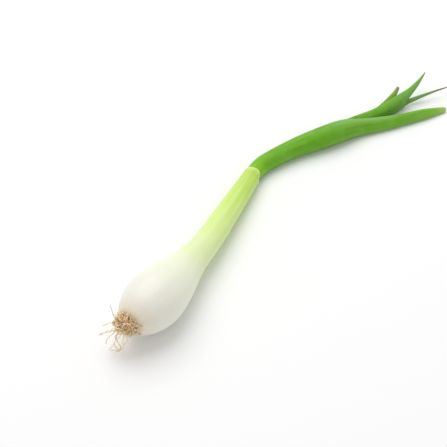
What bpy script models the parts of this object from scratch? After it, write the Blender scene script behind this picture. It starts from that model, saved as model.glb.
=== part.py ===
"""A bulb spring onion lying on its side, as picked: bulb with its outer sheath, root plate, roots and leaves.

The long axis runs along +Y, roots at -Y and leaf tips at +Y. The onion lies on the plane z = 0, and the
origin is the middle of its footprint. Every length is in metres and every angle in degrees.
"""
import math

import bmesh
import bpy
from mathutils import Matrix, Vector

# Bulb and the white outer sheath that grows up from it
BULB_DIAMETER = 0.034
BULB_BASE_LENGTH = 0.0240       # root plate to the widest ring
BULB_BASE_FULLNESS = 1.9       # power of the base's rounding: 2 is an ellipse, more is squarer
BULB_SHOULDER_LENGTH = 0.045    # widest ring to where the swelling ends
NECK_DIAMETER = 0.0204          # line of the shank carried down to the widest ring
COLLAR_DIAMETER = 0.0118        # top of the outer sheath
SHEATH_LENGTH = 0.146           # root plate to the collar
SHEATH_WALL = 0.0007
SOCKET_DEPTH = 0.012            # how far the green stalk reaches down inside the sheath
REST_FLAT = 0.0004              # how far soft tissue is pressed flat where it lies on the ground
SHEATH_HEADING = 7.0            # first direction in plan, to the right of +Y
SHEATH_ARCS = ((0.062, -5.0), (0.030, -6.5), (0.053, 0.0))

# Root plate and roots
ROOT_PLATE_DIAMETER = 0.0110
ROOT_PLATE_THICKNESS = 0.0022
ROOT_PLATE_FACE = 0.0092         # diameter of its outer face, which the roots grow from
ROOT_DIAMETER = 0.00075
ROOT_COUNT = 30
LONG_ROOT_COUNT = 9
SHORT_ROOT_LENGTH = 0.0062
LONG_ROOT_LENGTH = 0.0140
ROOT_SPREAD = 78.0              # lean of the outermost roots away from the root plate's axis
ROOT_TIP_SHARE = 0.5            # a root's tip is this share of its diameter
ROOT_CURL = 0.00055             # half width of a root's curls
ROOT_CURL_TURNS = 1.2           # curls along one root
ROOT_LENGTH_SPREAD = 0.2        # roots differ in length by this share, longer and shorter
ROOT_DROOP = 0.40               # sag of a long root at its tip, as a share of its length

# Outer leaf, whose foot is the green stalk: arcs in plan from the collar on, as (length, turn to the right),
# and diameters along it
STALK_ARCS = ((0.014, 27.5), (0.034, 13.5), (0.018, -3.5), (0.024, 13.5), (0.024, -6.5), (0.033, -2.0))
OUTER_LEAF_GIRTH = ((0.0, 0.0104), (0.006, 0.0113), (0.030, 0.0122), (0.062, 0.0146), (0.074, 0.0135),
                    (0.086, 0.0109), (0.112, 0.0083), (0.132, 0.0070), (0.147, 0.0040))

# Leaves that come out of the stalk's mouth. start: distance of the leaf's foot along the stalk; offset: how
# far the foot lies to the left of the stalk's middle; turn: first turn away from the stalk; arcs: course in
# plan; girth: diameters along the leaf; rise: height of its middle above the ground
MOUTH_LEAVES = {
    "inner_leaf": {
        "start": 0.062, "offset": 0.0020, "turn": -6.5, "sides": 16,
        "arcs": ((0.029, 7.5), (0.031, -15.5), (0.030, -18.5)),
        "girth": ((0.0, 0.0070), (0.020, 0.0092), (0.040, 0.0086), (0.052, 0.0090), (0.062, 0.0079),
                  (0.070, 0.0054), (0.080, 0.0032), (0.090, 0.0008)),
        "rise": ((0.0, 0.0066), (0.030, 0.0060), (0.060, 0.0078), (0.090, 0.0122)),
    },
    "short_leaf": {
        "start": 0.070, "offset": 0.0036, "turn": -7.0, "sides": 12,
        "arcs": ((0.024, -0.5), (0.037, -31.0)),
        "girth": ((0.0, 0.0026), (0.020, 0.0054), (0.046, 0.0056), (0.061, 0.0026)),
        "rise": ((0.0, 0.0026), (0.020, 0.0026), (0.046, 0.0042), (0.061, 0.0060)),
    },
    "drying_leaf": {
        "start": 0.070, "offset": -0.0002, "turn": -11.4, "sides": 8,
        "arcs": ((0.030, 0.5), (0.030, 11.5), (0.028, 9.5)),
        "girth": ((0.0, 0.0018), (0.022, 0.0034), (0.040, 0.0070), (0.0475, 0.0079), (0.053, 0.0058),
                  (0.058, 0.0036), (0.065, 0.0028), (0.080, 0.0014), (0.088, 0.0007)),
        "rise": ((0.0, 0.0012), (0.022, 0.0014), (0.044, 0.0030), (0.058, 0.0036), (0.088, 0.0076)),
    },
}

CLEARANCE = 0.0003              # gap kept between pieces that touch
RING_SPACING = 0.0042           # along the sheath, stalk and leaves
BASE_RING_SPACING = 0.0029      # where the bulb rounds in to the root plate
LONG_ROOT_RINGS = 12
SHORT_ROOT_RINGS = 8
BULB_SIDES = 28
STALK_SIDES = 20
ROOT_SIDES = 6

GOLDEN_SHARE = (math.sqrt(5.0) - 1.0) / 2.0
GOLDEN_ANGLE = 2.0 * math.pi * (1.0 - GOLDEN_SHARE)
DOWN = Vector((0.0, 0.0, -1.0))


def clear_scene():
    for item in list(bpy.data.objects):
        bpy.data.objects.remove(item, do_unlink=True)


def new_collection(name):
    collection = bpy.data.collections.new(name)
    bpy.context.scene.collection.children.link(collection)
    return collection


def new_material(name, colour, roughness):
    material = bpy.data.materials.new(name)
    material.use_nodes = True
    shader = material.node_tree.nodes["Principled BSDF"]
    shader.inputs["Base Color"].default_value = (*colour, 1.0)
    shader.inputs["Roughness"].default_value = roughness
    shader.inputs["Metallic"].default_value = 0.0
    material.diffuse_color = (*colour, 1.0)
    return material


def smooth_value(table, position):
    """Value at a position along a table of (position, value), eased through its points."""
    spots = [spot for spot, _ in table]
    values = [value for _, value in table]
    if position <= spots[0]:
        return values[0]
    if position >= spots[-1]:
        return values[-1]
    index = max(i for i, spot in enumerate(spots) if spot <= position)

    def slope(i):
        low, high = max(i - 1, 0), min(i + 1, len(spots) - 1)
        return (values[high] - values[low]) / (spots[high] - spots[low])

    span = spots[index + 1] - spots[index]
    t = (position - spots[index]) / span
    ease = 3.0 * t * t - 2.0 * t ** 3
    bend = slope(index) * (t - 2.0 * t * t + t ** 3) + slope(index + 1) * (t ** 3 - t * t)
    return values[index] * (1.0 - ease) + values[index + 1] * ease + bend * span


def plan_point(start, heading, arcs, distance):
    """Point and heading in plan after a distance along a chain of arcs; past its end it runs straight on."""
    x, y = start
    angle = math.radians(heading)
    left = distance
    for length, turn in arcs:
        travelled = min(left, length)
        swing = math.radians(turn) * travelled / length
        chord = travelled if abs(swing) < 1e-6 else travelled * math.sin(swing / 2) / (swing / 2)
        x += chord * math.sin(angle + swing / 2)
        y += chord * math.cos(angle + swing / 2)
        angle += swing
        left -= travelled
    x += left * math.sin(angle)
    y += left * math.cos(angle)
    return (x, y), math.degrees(angle)


def tube(name, centres, radii, sides, collection, material=None):
    """A closed tube of changing girth: a bevelled curve with filled caps, made a mesh and welded."""
    curve = bpy.data.curves.new(name, "CURVE")
    curve.dimensions = "3D"
    curve.bevel_depth = 1.0
    curve.bevel_resolution = (sides - 4) // 2
    curve.use_fill_caps = True
    spline = curve.splines.new("POLY")
    spline.points.add(len(centres) - 1)
    for point, centre, radius in zip(spline.points, centres, radii):
        point.co = (*centre, 1.0)
        point.radius = radius
    guide = bpy.data.objects.new(name + "_guide", curve)
    collection.objects.link(guide)
    bpy.context.view_layer.update()
    evaluated = guide.evaluated_get(bpy.context.evaluated_depsgraph_get())
    mesh = bpy.data.meshes.new_from_object(evaluated)
    mesh.name = name
    work = bmesh.new()
    work.from_mesh(mesh)
    bmesh.ops.remove_doubles(work, verts=work.verts, dist=0.000001)
    bmesh.ops.recalc_face_normals(work, faces=work.faces)
    work.to_mesh(mesh)
    work.free()
    mesh.shade_smooth()
    mesh.set_sharp_from_angle(angle=math.radians(50))
    body = bpy.data.objects.new(name, mesh)
    body.matrix_world = guide.matrix_world
    collection.objects.link(body)
    bpy.data.objects.remove(guide, do_unlink=True)
    bpy.data.curves.remove(curve)
    if material:
        mesh.materials.clear()
        mesh.materials.append(material)
    return body


def mark_as_cutter(cutter):
    cutter.hide_render = True
    cutter.display_type = "WIRE"
    return cutter


def cut(target, cutter, label):
    boolean = target.modifiers.new(label, "BOOLEAN")
    boolean.operation = "DIFFERENCE"
    boolean.solver = "EXACT"
    boolean.object = cutter


def inflated(name, centres, radii, sides, collection):
    """A cutter that leaves the clearance round a tube, also past the end that sits inside its neighbour."""
    first, second = Vector(centres[0]), Vector(centres[1])
    start = first + (first - second).normalized() * CLEARANCE
    grown = [start] + list(centres[1:])
    return mark_as_cutter(tube(name, grown, [radius + CLEARANCE for radius in radii], sides, collection))


# ---- Courses of the plant's middle line ----

def sheath_radius(distance):
    """Radius of the bulb and outer sheath at a distance from the root plate."""
    widest = BULB_DIAMETER / 2
    from_widest = distance - BULB_BASE_LENGTH
    if from_widest < 0.0:
        power = BULB_BASE_FULLNESS
        end_share = ROOT_PLATE_DIAMETER / BULB_DIAMETER
        half_length = BULB_BASE_LENGTH / (1.0 - end_share ** power) ** (1.0 / power)
        return widest * (1.0 - (-from_widest / half_length) ** power) ** (1.0 / power)
    share = from_widest / (SHEATH_LENGTH - BULB_BASE_LENGTH)
    shank = (NECK_DIAMETER + (COLLAR_DIAMETER - NECK_DIAMETER) * share) / 2
    swelling = 0.0
    if from_widest < BULB_SHOULDER_LENGTH:
        quarter = math.pi / 2 * from_widest / BULB_SHOULDER_LENGTH
        swelling = (widest - NECK_DIAMETER / 2) * math.cos(quarter) ** 2
    return shank + swelling


def sheath_height(distance):
    """The middle line slopes from the bulb, which lies on the ground, down to the collar, which does too."""
    high = BULB_DIAMETER / 2 - REST_FLAT
    low = COLLAR_DIAMETER / 2
    share = (distance - BULB_BASE_LENGTH) / (SHEATH_LENGTH - BULB_BASE_LENGTH)
    return high + (low - high) * share


def sheath_centre(distance):
    (x, y), _ = plan_point((0.0, 0.0), SHEATH_HEADING, SHEATH_ARCS, distance)
    return Vector((x, y, sheath_height(distance)))


def stalk_plan(distance):
    """Plan point and heading at a distance past the collar; a negative distance lies inside the sheath."""
    if distance < 0.0:
        return plan_point((0.0, 0.0), SHEATH_HEADING, SHEATH_ARCS, SHEATH_LENGTH + distance)
    collar, heading = plan_point((0.0, 0.0), SHEATH_HEADING, SHEATH_ARCS, SHEATH_LENGTH)
    return plan_point(collar, heading, STALK_ARCS, distance)


def stalk_radius(distance):
    if distance < 0.0:
        return min(smooth_value(OUTER_LEAF_GIRTH, 0.0) / 2, COLLAR_DIAMETER / 2 - SHEATH_WALL - CLEARANCE)
    return smooth_value(OUTER_LEAF_GIRTH, distance) / 2


def stalk_height(distance):
    """Inside the sheath the stalk follows its slope; beyond the collar it settles onto the ground."""
    inside = sheath_height(SHEATH_LENGTH + min(distance, 0.0))
    if distance <= 0.0:
        return inside
    lying = max(stalk_radius(distance) - REST_FLAT / 2, REST_FLAT)
    share = min(distance / OUTER_LEAF_GIRTH[1][0], 1.0)
    return inside + (lying - inside) * share


def spaced(length, step):
    count = max(int(round(length / step)), 2)
    return [length * i / count for i in range(count + 1)]


# ---- Pieces ----

def build_bulb(parts, material):
    distances = spaced(BULB_BASE_LENGTH, BASE_RING_SPACING) + \
        [BULB_BASE_LENGTH + d for d in spaced(SHEATH_LENGTH - BULB_BASE_LENGTH, RING_SPACING)[1:]]
    centres = [sheath_centre(distance) for distance in distances]
    radii = [sheath_radius(distance) for distance in distances]
    return tube("bulb", centres, radii, BULB_SIDES, parts, material)


def build_outer_leaf(parts, cutters, bulb, material):
    length = sum(arc for arc, _ in STALK_ARCS)
    distances = [d - SOCKET_DEPTH for d in spaced(SOCKET_DEPTH + length, RING_SPACING)]
    centres = [Vector((*stalk_plan(d)[0], stalk_height(d))) for d in distances]
    radii = [stalk_radius(distance) for distance in distances]
    leaf = tube("outer_leaf", centres, radii, STALK_SIDES, parts, material)
    cut(bulb, inflated("collar_socket", centres, radii, STALK_SIDES, cutters), "collar_socket")
    return leaf


def build_mouth_leaf(name, shape, parts, cutters, material):
    """A leaf that comes out of the mouth of the outer leaf, and the cutter that clears its neighbours."""
    (x, y), heading = stalk_plan(shape["start"])
    angle = math.radians(heading)
    foot = (x - shape["offset"] * math.cos(angle), y + shape["offset"] * math.sin(angle))
    length = sum(arc for arc, _ in shape["arcs"])
    distances = spaced(length, RING_SPACING)
    centres = []
    for distance in distances:
        point, _ = plan_point(foot, heading + shape["turn"], shape["arcs"], distance)
        centres.append(Vector((*point, smooth_value(shape["rise"], distance))))
    radii = [smooth_value(shape["girth"], distance) / 2 for distance in distances]
    leaf = tube(name, centres, radii, shape["sides"], parts, material)
    return leaf, inflated("room_for_" + name, centres, radii, shape["sides"], cutters)


def root_plate_axes():
    """Outward direction of the root plate, and two directions across it: level, and up."""
    outward = (sheath_centre(0.0) - sheath_centre(0.001)).normalized()
    level = outward.cross(DOWN).normalized()
    return outward, level, outward.cross(level).normalized()


def build_root_plate(parts, material):
    outward, level, _ = root_plate_axes()
    mesh = bpy.data.meshes.new("root_plate")
    work = bmesh.new()
    bmesh.ops.create_cone(work, cap_ends=True, segments=24, radius1=ROOT_PLATE_DIAMETER / 2,
                          radius2=ROOT_PLATE_FACE / 2, depth=ROOT_PLATE_THICKNESS)
    work.to_mesh(mesh)
    work.free()
    mesh.materials.append(material)
    plate = bpy.data.objects.new("root_plate", mesh)
    turn = Matrix((level, outward.cross(level), outward)).transposed().to_4x4()
    middle = sheath_centre(0.0) + outward * (CLEARANCE + ROOT_PLATE_THICKNESS / 2)
    plate.matrix_world = Matrix.Translation(middle) @ turn
    parts.objects.link(plate)
    return plate


def root_course(index):
    """Centres of one root: it leaves the root plate, leans outward, curls, and sags if it is a long one."""
    outward, level, up = root_plate_axes()
    face = sheath_centre(0.0) + outward * (ROOT_PLATE_THICKNESS + 2 * CLEARANCE)
    share = math.sqrt((index + 0.5) / ROOT_COUNT)
    around = index * GOLDEN_ANGLE
    across = level * math.cos(around) + up * math.sin(around)
    lean = math.radians(ROOT_SPREAD) * share
    run = outward * math.cos(lean) + across * math.sin(lean)
    side = run.cross(across if abs(run.dot(across)) < 0.9 else outward).normalized()
    base = face + across * (ROOT_PLATE_FACE / 2 - ROOT_DIAMETER) * share
    base += outward * math.sin(lean) * ROOT_DIAMETER / 2
    is_long = index >= ROOT_COUNT - LONG_ROOT_COUNT
    length = LONG_ROOT_LENGTH if is_long else SHORT_ROOT_LENGTH
    length *= 1.0 + ROOT_LENGTH_SPREAD * (2.0 * ((index * GOLDEN_SHARE) % 1.0) - 1.0)
    fall = max(-run.z, 0.0) + ROOT_DROOP
    length = min(length, (base.z - ROOT_DIAMETER - CLEARANCE) / fall)
    centres = [base]
    count = LONG_ROOT_RINGS if is_long else SHORT_ROOT_RINGS
    for i in range(1, count + 1):
        t = i / count
        sag = DOWN * (ROOT_DROOP * length * t * t if is_long else 0.0)
        wave = ROOT_CURL * t * math.sin(2.0 * math.pi * t * ROOT_CURL_TURNS + index)
        centres.append(base + run * length * t + side * wave + sag)
    return centres


def build_roots(parts, material):
    for index in range(ROOT_COUNT):
        centres = root_course(index)
        last = len(centres) - 1
        radii = [ROOT_DIAMETER / 2 * (1.0 - (1.0 - ROOT_TIP_SHARE) * i / last) for i in range(last + 1)]
        tube("root_%02d" % (index + 1), centres, radii, ROOT_SIDES, parts, material)


def flatten_underside(leaves, cutters):
    """Soft tissue lies flat on the ground, so everything below it is cut away."""
    mesh = bpy.data.meshes.new("ground")
    work = bmesh.new()
    bmesh.ops.create_cube(work, size=2.0)
    work.to_mesh(mesh)
    work.free()
    ground = bpy.data.objects.new("ground", mesh)
    ground.location = (0.0, 0.0, -1.0)
    cutters.objects.link(ground)
    mark_as_cutter(ground)
    for leaf in leaves:
        cut(leaf, ground, "lies_flat")


def centre_on_footprint(parts, cutters):
    """Hangs everything on one empty and moves that, so that the origin is the middle of the footprint."""
    bpy.context.view_layer.update()
    graph = bpy.context.evaluated_depsgraph_get()
    corners = []
    for piece in parts.objects:
        evaluated = piece.evaluated_get(graph)
        corners += [piece.matrix_world @ vertex.co for vertex in evaluated.data.vertices]
    low = [min(corner[axis] for corner in corners) for axis in range(3)]
    high = [max(corner[axis] for corner in corners) for axis in range(3)]
    plant = bpy.data.objects.new("spring_onion", None)
    bpy.context.scene.collection.objects.link(plant)
    for item in list(parts.objects) + list(cutters.objects):
        item.parent = plant
    plant.location = (-(low[0] + high[0]) / 2, -(low[1] + high[1]) / 2, 0.0)
    bpy.context.view_layer.update()


clear_scene()
onion = new_collection("spring_onion")
cutting_tools = new_collection("cutters")

white_skin = new_material("white_skin", (0.82, 0.80, 0.70), 0.35)
green_leaf = new_material("green_leaf", (0.12, 0.32, 0.03), 0.42)
pale_root = new_material("pale_root", (0.45, 0.31, 0.15), 0.75)
root_crust = new_material("root_crust", (0.30, 0.19, 0.10), 0.85)

bulb = build_bulb(onion, white_skin)
outer_leaf = build_outer_leaf(onion, cutting_tools, bulb, green_leaf)
mouth_leaves = []
rooms = []
for leaf_name, leaf_shape in MOUTH_LEAVES.items():
    mouth_leaf, room = build_mouth_leaf(leaf_name, leaf_shape, onion, cutting_tools, green_leaf)
    cut(outer_leaf, room, room.name)
    for earlier_room in rooms:
        cut(mouth_leaf, earlier_room, earlier_room.name)
    mouth_leaves.append(mouth_leaf)
    rooms.append(room)
build_root_plate(onion, root_crust)
build_roots(onion, pale_root)
flatten_underside([bulb, outer_leaf] + mouth_leaves, cutting_tools)
centre_on_footprint(onion, cutting_tools)
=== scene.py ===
"""A bulb spring onion lying on a white table: bulb and sheath, root plate, roots, and its green leaves.

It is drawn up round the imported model, in metres: the long axis runs along +Y, the ground is z = 0.
"""

import math
import random

import bpy
from mathutils import Matrix, Vector, noise


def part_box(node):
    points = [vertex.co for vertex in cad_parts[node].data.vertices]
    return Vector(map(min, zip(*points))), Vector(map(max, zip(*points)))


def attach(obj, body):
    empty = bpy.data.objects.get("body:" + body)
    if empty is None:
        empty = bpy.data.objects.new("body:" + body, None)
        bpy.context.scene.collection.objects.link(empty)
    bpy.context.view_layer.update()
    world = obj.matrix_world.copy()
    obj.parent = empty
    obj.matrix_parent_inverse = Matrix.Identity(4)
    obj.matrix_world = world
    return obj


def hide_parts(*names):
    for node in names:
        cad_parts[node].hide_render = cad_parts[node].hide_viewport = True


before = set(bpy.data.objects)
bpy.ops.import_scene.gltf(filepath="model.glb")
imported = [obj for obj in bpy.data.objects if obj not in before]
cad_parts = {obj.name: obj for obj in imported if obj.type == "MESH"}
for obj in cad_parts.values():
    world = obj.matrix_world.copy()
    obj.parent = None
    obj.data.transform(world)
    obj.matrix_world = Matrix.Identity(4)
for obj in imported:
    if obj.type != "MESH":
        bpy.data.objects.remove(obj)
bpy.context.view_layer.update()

# ---- Table and studio ----
# A white table top under a large soft lamp up on the left, with white walls all round that fill the
# shadows, and a camera with a long lens that looks down on the onion from its root end.
CAMERA_AZIMUTH = 29.0
CAMERA_ELEVATION = 48.0
CAMERA_DISTANCE = 0.628
CAMERA_LENS = 85.0
AIM_FROM_BULB = (0.0041, 0.0704, 0.012)      # what the camera looks at, from the middle of the bulb
BULB_MIDDLE_FROM_PLATE = 0.0259
TABLE_SIZE = 8.0
TABLE_WHITE = 0.96
SENSOR_WIDTH = 36.0
NEAREST_SEEN, FARTHEST_SEEN = 0.01, 50.0
LAMP_AIM = (0.0, 0.0, 0.01)
LAMP_DIRECTION = (-0.42, 0.28, 1.10)
LAMP_DISTANCE = 1.3
LAMP_SIZE = 1.2
LAMP_POWER = 11.0
WALL_LIGHT = 0.60

bulb_low, bulb_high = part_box("bulb")
plate_low, plate_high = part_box("root_plate")
plate_middle = (plate_low + plate_high) / 2


def new_finish(name):
    """A material with its shader and its links, ready for its colours and grain."""
    material = bpy.data.materials.new(name)
    material.use_nodes = True
    return material, material.node_tree.nodes["Principled BSDF"], material.node_tree.links


bpy.ops.object.select_all(action="DESELECT")
bpy.ops.mesh.primitive_plane_add(size=TABLE_SIZE)
table = bpy.context.object
table.name = "table_top"
table_white, table_shader, _ = new_finish("table_white")
table_shader.inputs["Base Color"].default_value = (TABLE_WHITE, TABLE_WHITE, TABLE_WHITE, 1.0)
table_shader.inputs["Roughness"].default_value = 0.9
table_shader.inputs["Specular IOR Level"].default_value = 0.1
table.data.materials.append(table_white)

room = bpy.data.worlds.new("white_room")
room.use_nodes = True
room.node_tree.nodes["Background"].inputs["Color"].default_value = (1.0, 1.0, 1.0, 1.0)
room.node_tree.nodes["Background"].inputs["Strength"].default_value = WALL_LIGHT
bpy.context.scene.world = room
bpy.context.scene.view_settings.view_transform = "Standard"

lamp_back = Vector(LAMP_DIRECTION).normalized()
bpy.ops.object.light_add(type="AREA", location=Vector(LAMP_AIM) + lamp_back * LAMP_DISTANCE)
lamp = bpy.context.object
lamp.name = "soft_lamp"
lamp.data.size = LAMP_SIZE
lamp.data.energy = LAMP_POWER
lamp.rotation_euler = lamp_back.to_track_quat("Z", "Y").to_euler()

azimuth, elevation = math.radians(CAMERA_AZIMUTH), math.radians(CAMERA_ELEVATION)
camera_back = Vector((math.sin(azimuth) * math.cos(elevation),
                      -math.cos(azimuth) * math.cos(elevation),
                      math.sin(elevation)))
bpy.ops.object.camera_add()
camera = bpy.context.object
camera.name = "camera"
camera.data.lens = CAMERA_LENS
camera.data.sensor_width = SENSOR_WIDTH
camera.data.clip_start = NEAREST_SEEN
camera.data.clip_end = FARTHEST_SEEN
camera.rotation_mode = "QUATERNION"
camera.rotation_quaternion = camera_back.to_track_quat("Z", "Y")
bulb_middle = Vector(((bulb_low.x + bulb_high.x) / 2, plate_middle.y + BULB_MIDDLE_FROM_PLATE, 0.0))
camera.location = bulb_middle + Vector(AIM_FROM_BULB) + camera_back * CAMERA_DISTANCE
bpy.context.scene.camera = camera

# ---- Bulb and outer sheath ----
# The swollen foot of the leaves, white and full of water, wrapped in one thin outer sheath that runs up
# round the green stalk, turns from white to pale green and ends in an open collar.
BULB_DIAMETER = 0.034
BULB_BASE_LENGTH = 0.0240
BULB_BASE_FULLNESS = 1.9
BULB_SHOULDER_LENGTH = 0.045
NECK_DIAMETER = 0.0204
COLLAR_DIAMETER = 0.0118
SHEATH_LENGTH = 0.146
SHEATH_WALL = 0.0006
SHEATH_SIDES = 96
SHEATH_RING_SPACING = 0.0011
REST_FLAT = 0.0004
SHEATH_HEADING = 7.0
SHEATH_ARCS = ((0.062, -5.0), (0.030, -6.5), (0.053, 0.0))
COLLAR_DEPTH = 0.007                # how far down the inside of the collar can be seen
ROOT_PLATE_DIAMETER = 0.0110
ROOT_PLATE_THICKNESS = 0.0022
CLEARANCE = 0.0003
COURSE_STEP = 0.003                 # between the points of a line that a piece is bent along
SECTION_TURN = 90.0                 # the bend turns a tube's section this far, so it is turned back
END_REACH = 0.0003                  # points this near the middle line are the closed end of a tube


def plan_point(start, heading, arcs, distance):
    """Point and heading in plan at a distance along a chain of arcs, (length, turn), or straight past it."""
    x, y = start
    angle = math.radians(heading)
    left = distance
    for length, turn in arcs:
        travelled = min(left, length)
        swing = math.radians(turn) * travelled / length
        chord = travelled if abs(swing) < 1e-6 else travelled * math.sin(swing / 2) / (swing / 2)
        x += chord * math.sin(angle + swing / 2)
        y += chord * math.cos(angle + swing / 2)
        angle += swing
        left -= travelled
    x += left * math.sin(angle)
    y += left * math.cos(angle)
    return (x, y), math.degrees(angle)


def sheath_radius(distance):
    """Radius of the bulb and outer sheath at a distance from the root plate."""
    widest = BULB_DIAMETER / 2
    from_widest = distance - BULB_BASE_LENGTH
    if from_widest < 0.0:
        fullness = BULB_BASE_FULLNESS
        end_share = ROOT_PLATE_DIAMETER / BULB_DIAMETER
        half_length = BULB_BASE_LENGTH / (1.0 - end_share ** fullness) ** (1.0 / fullness)
        return widest * (1.0 - (-from_widest / half_length) ** fullness) ** (1.0 / fullness)
    share = from_widest / (SHEATH_LENGTH - BULB_BASE_LENGTH)
    shank = (NECK_DIAMETER + (COLLAR_DIAMETER - NECK_DIAMETER) * share) / 2
    swelling = 0.0
    if from_widest < BULB_SHOULDER_LENGTH:
        quarter = math.pi / 2 * from_widest / BULB_SHOULDER_LENGTH
        swelling = (widest - NECK_DIAMETER / 2) * math.cos(quarter) ** 2
    return shank + swelling


def sheath_height(distance):
    """The middle line slopes from the bulb, which lies on the ground, down to the collar."""
    high = BULB_DIAMETER / 2 - REST_FLAT
    low = COLLAR_DIAMETER / 2
    share = (distance - BULB_BASE_LENGTH) / (SHEATH_LENGTH - BULB_BASE_LENGTH)
    return high + (low - high) * share


FALL_LENGTH = 0.01                  # the middle line's fall at the root end is taken over this length
sheath_fall = (sheath_height(0.0) - sheath_height(FALL_LENGTH)) / FALL_LENGTH
sheath_angle = math.radians(SHEATH_HEADING)
plate_outward = Vector((-math.sin(sheath_angle), -math.cos(sheath_angle), sheath_fall)).normalized()
root_end = plate_middle - plate_outward * (CLEARANCE + ROOT_PLATE_THICKNESS / 2)


def sheath_centre(distance):
    """Where the middle line of bulb and sheath runs."""
    (x, y), _ = plan_point((root_end.x, root_end.y), SHEATH_HEADING, SHEATH_ARCS, distance)
    return Vector((x, y, sheath_height(distance)))


def evenly(start, end, spacing):
    """Distances from start to end, about a spacing apart."""
    count = max(int(round((end - start) / spacing)), 2)
    return [start + (end - start) * i / count for i in range(count + 1)]


def take_up(piece):
    """Selects one piece alone, because an operator acts on all that is selected."""
    bpy.ops.object.select_all(action="DESELECT")
    piece.select_set(True)
    bpy.context.view_layer.objects.active = piece


def grow_straight(name, sides, rings):
    """A straight round tube drawn out ring by ring along +Y; rings are (distance, radius)."""
    bpy.ops.object.select_all(action="DESELECT")
    distance, radius = rings[0]
    bpy.ops.mesh.primitive_circle_add(vertices=sides, radius=1.0, location=(0.0, distance, 0.0),
                                      rotation=(math.pi / 2, 0.0, 0.0))
    piece = bpy.context.object
    piece.name = name
    piece.scale = (radius, radius, 1.0)
    bpy.ops.object.transform_apply(location=True, rotation=True, scale=True)
    bpy.ops.object.mode_set(mode="EDIT")
    for next_distance, next_radius in rings[1:]:
        bpy.ops.mesh.extrude_region_move(
            TRANSFORM_OT_translate={"value": (0.0, next_distance - distance, 0.0)})
        bpy.ops.transform.resize(value=(next_radius / radius, 1.0, next_radius / radius),
                                 center_override=(0.0, next_distance, 0.0))
        distance, radius = next_distance, next_radius
    bpy.ops.object.mode_set(mode="OBJECT")
    return piece


def close_end(piece, distance):
    """Draws the ring at a distance along the straight tube together into one point."""
    bpy.ops.object.mode_set(mode="EDIT")
    bpy.ops.mesh.select_all(action="DESELECT")
    bpy.ops.object.mode_set(mode="OBJECT")
    for vertex in piece.data.vertices:
        vertex.select = abs(vertex.co.y - distance) < 1e-6
    bpy.ops.object.mode_set(mode="EDIT")
    bpy.ops.mesh.select_mode(type="VERT")
    bpy.ops.mesh.merge(type="CENTER")
    bpy.ops.object.mode_set(mode="OBJECT")


def note_growth(piece, length, start=0.0):
    """Keeps where each point grew: round the stem as a unit circle, and its share of the length."""
    growth = piece.data.attributes.new("growth", "FLOAT_VECTOR", "POINT")
    for vertex, note in zip(piece.data.vertices, growth.data):
        around = Vector((vertex.co.x, vertex.co.z))
        if around.length > 1e-7:
            around.normalize()
        note.vector = (around.x, (vertex.co.y - start) / length, around.y)


def bend_along(piece, centres):
    """Bends a straight tube along a smooth line, with its +Z side kept up."""
    course = bpy.data.curves.new("course", "CURVE")
    course.dimensions = "3D"
    course.twist_mode = "Z_UP"
    spline = course.splines.new("POLY")
    spline.points.add(len(centres) - 1)
    for point, centre in zip(spline.points, centres):
        point.co = (*centre, 1.0)
        point.tilt = math.radians(SECTION_TURN)
    guide = bpy.data.objects.new("course", course)
    bpy.context.collection.objects.link(guide)
    bend = piece.modifiers.new("bend", "CURVE")
    bend.object = guide
    bend.deform_axis = "POS_Y"
    take_up(piece)
    bpy.ops.object.modifier_apply(modifier="bend")
    bpy.data.objects.remove(guide, do_unlink=True)
    bpy.data.curves.remove(course)


def finish_skin(piece):
    """Presses what lies below the ground flat, turns the faces outward and shades them smooth."""
    for vertex in piece.data.vertices:
        vertex.co.z = max(vertex.co.z, 0.0)
    take_up(piece)
    bpy.ops.object.mode_set(mode="EDIT")
    bpy.ops.mesh.select_all(action="SELECT")
    bpy.ops.mesh.normals_make_consistent(inside=False)
    bpy.ops.object.mode_set(mode="OBJECT")
    bpy.ops.object.shade_smooth()


# The collar's rim is rounded over: how far it stands out, and how far it has turned in from either wall
RIM_OUTSIDE = (0.00025, 0.00015)
RIM_INSIDE = (0.00027, 0.0002)
sheath_rings = [(d, sheath_radius(d)) for d in evenly(0.0, SHEATH_LENGTH, SHEATH_RING_SPACING)]
collar_radius = sheath_rings[-1][1]
inner_radius = collar_radius - SHEATH_WALL
sheath_rings += [(SHEATH_LENGTH + RIM_OUTSIDE[0], collar_radius - RIM_OUTSIDE[1]),
                 (SHEATH_LENGTH + RIM_INSIDE[0], inner_radius + RIM_INSIDE[1]),
                 (SHEATH_LENGTH, inner_radius),
                 (SHEATH_LENGTH - COLLAR_DEPTH, inner_radius)]
sheath = grow_straight("bulb_and_sheath", SHEATH_SIDES, sheath_rings)
close_end(sheath, 0.0)
note_growth(sheath, SHEATH_LENGTH)

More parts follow.
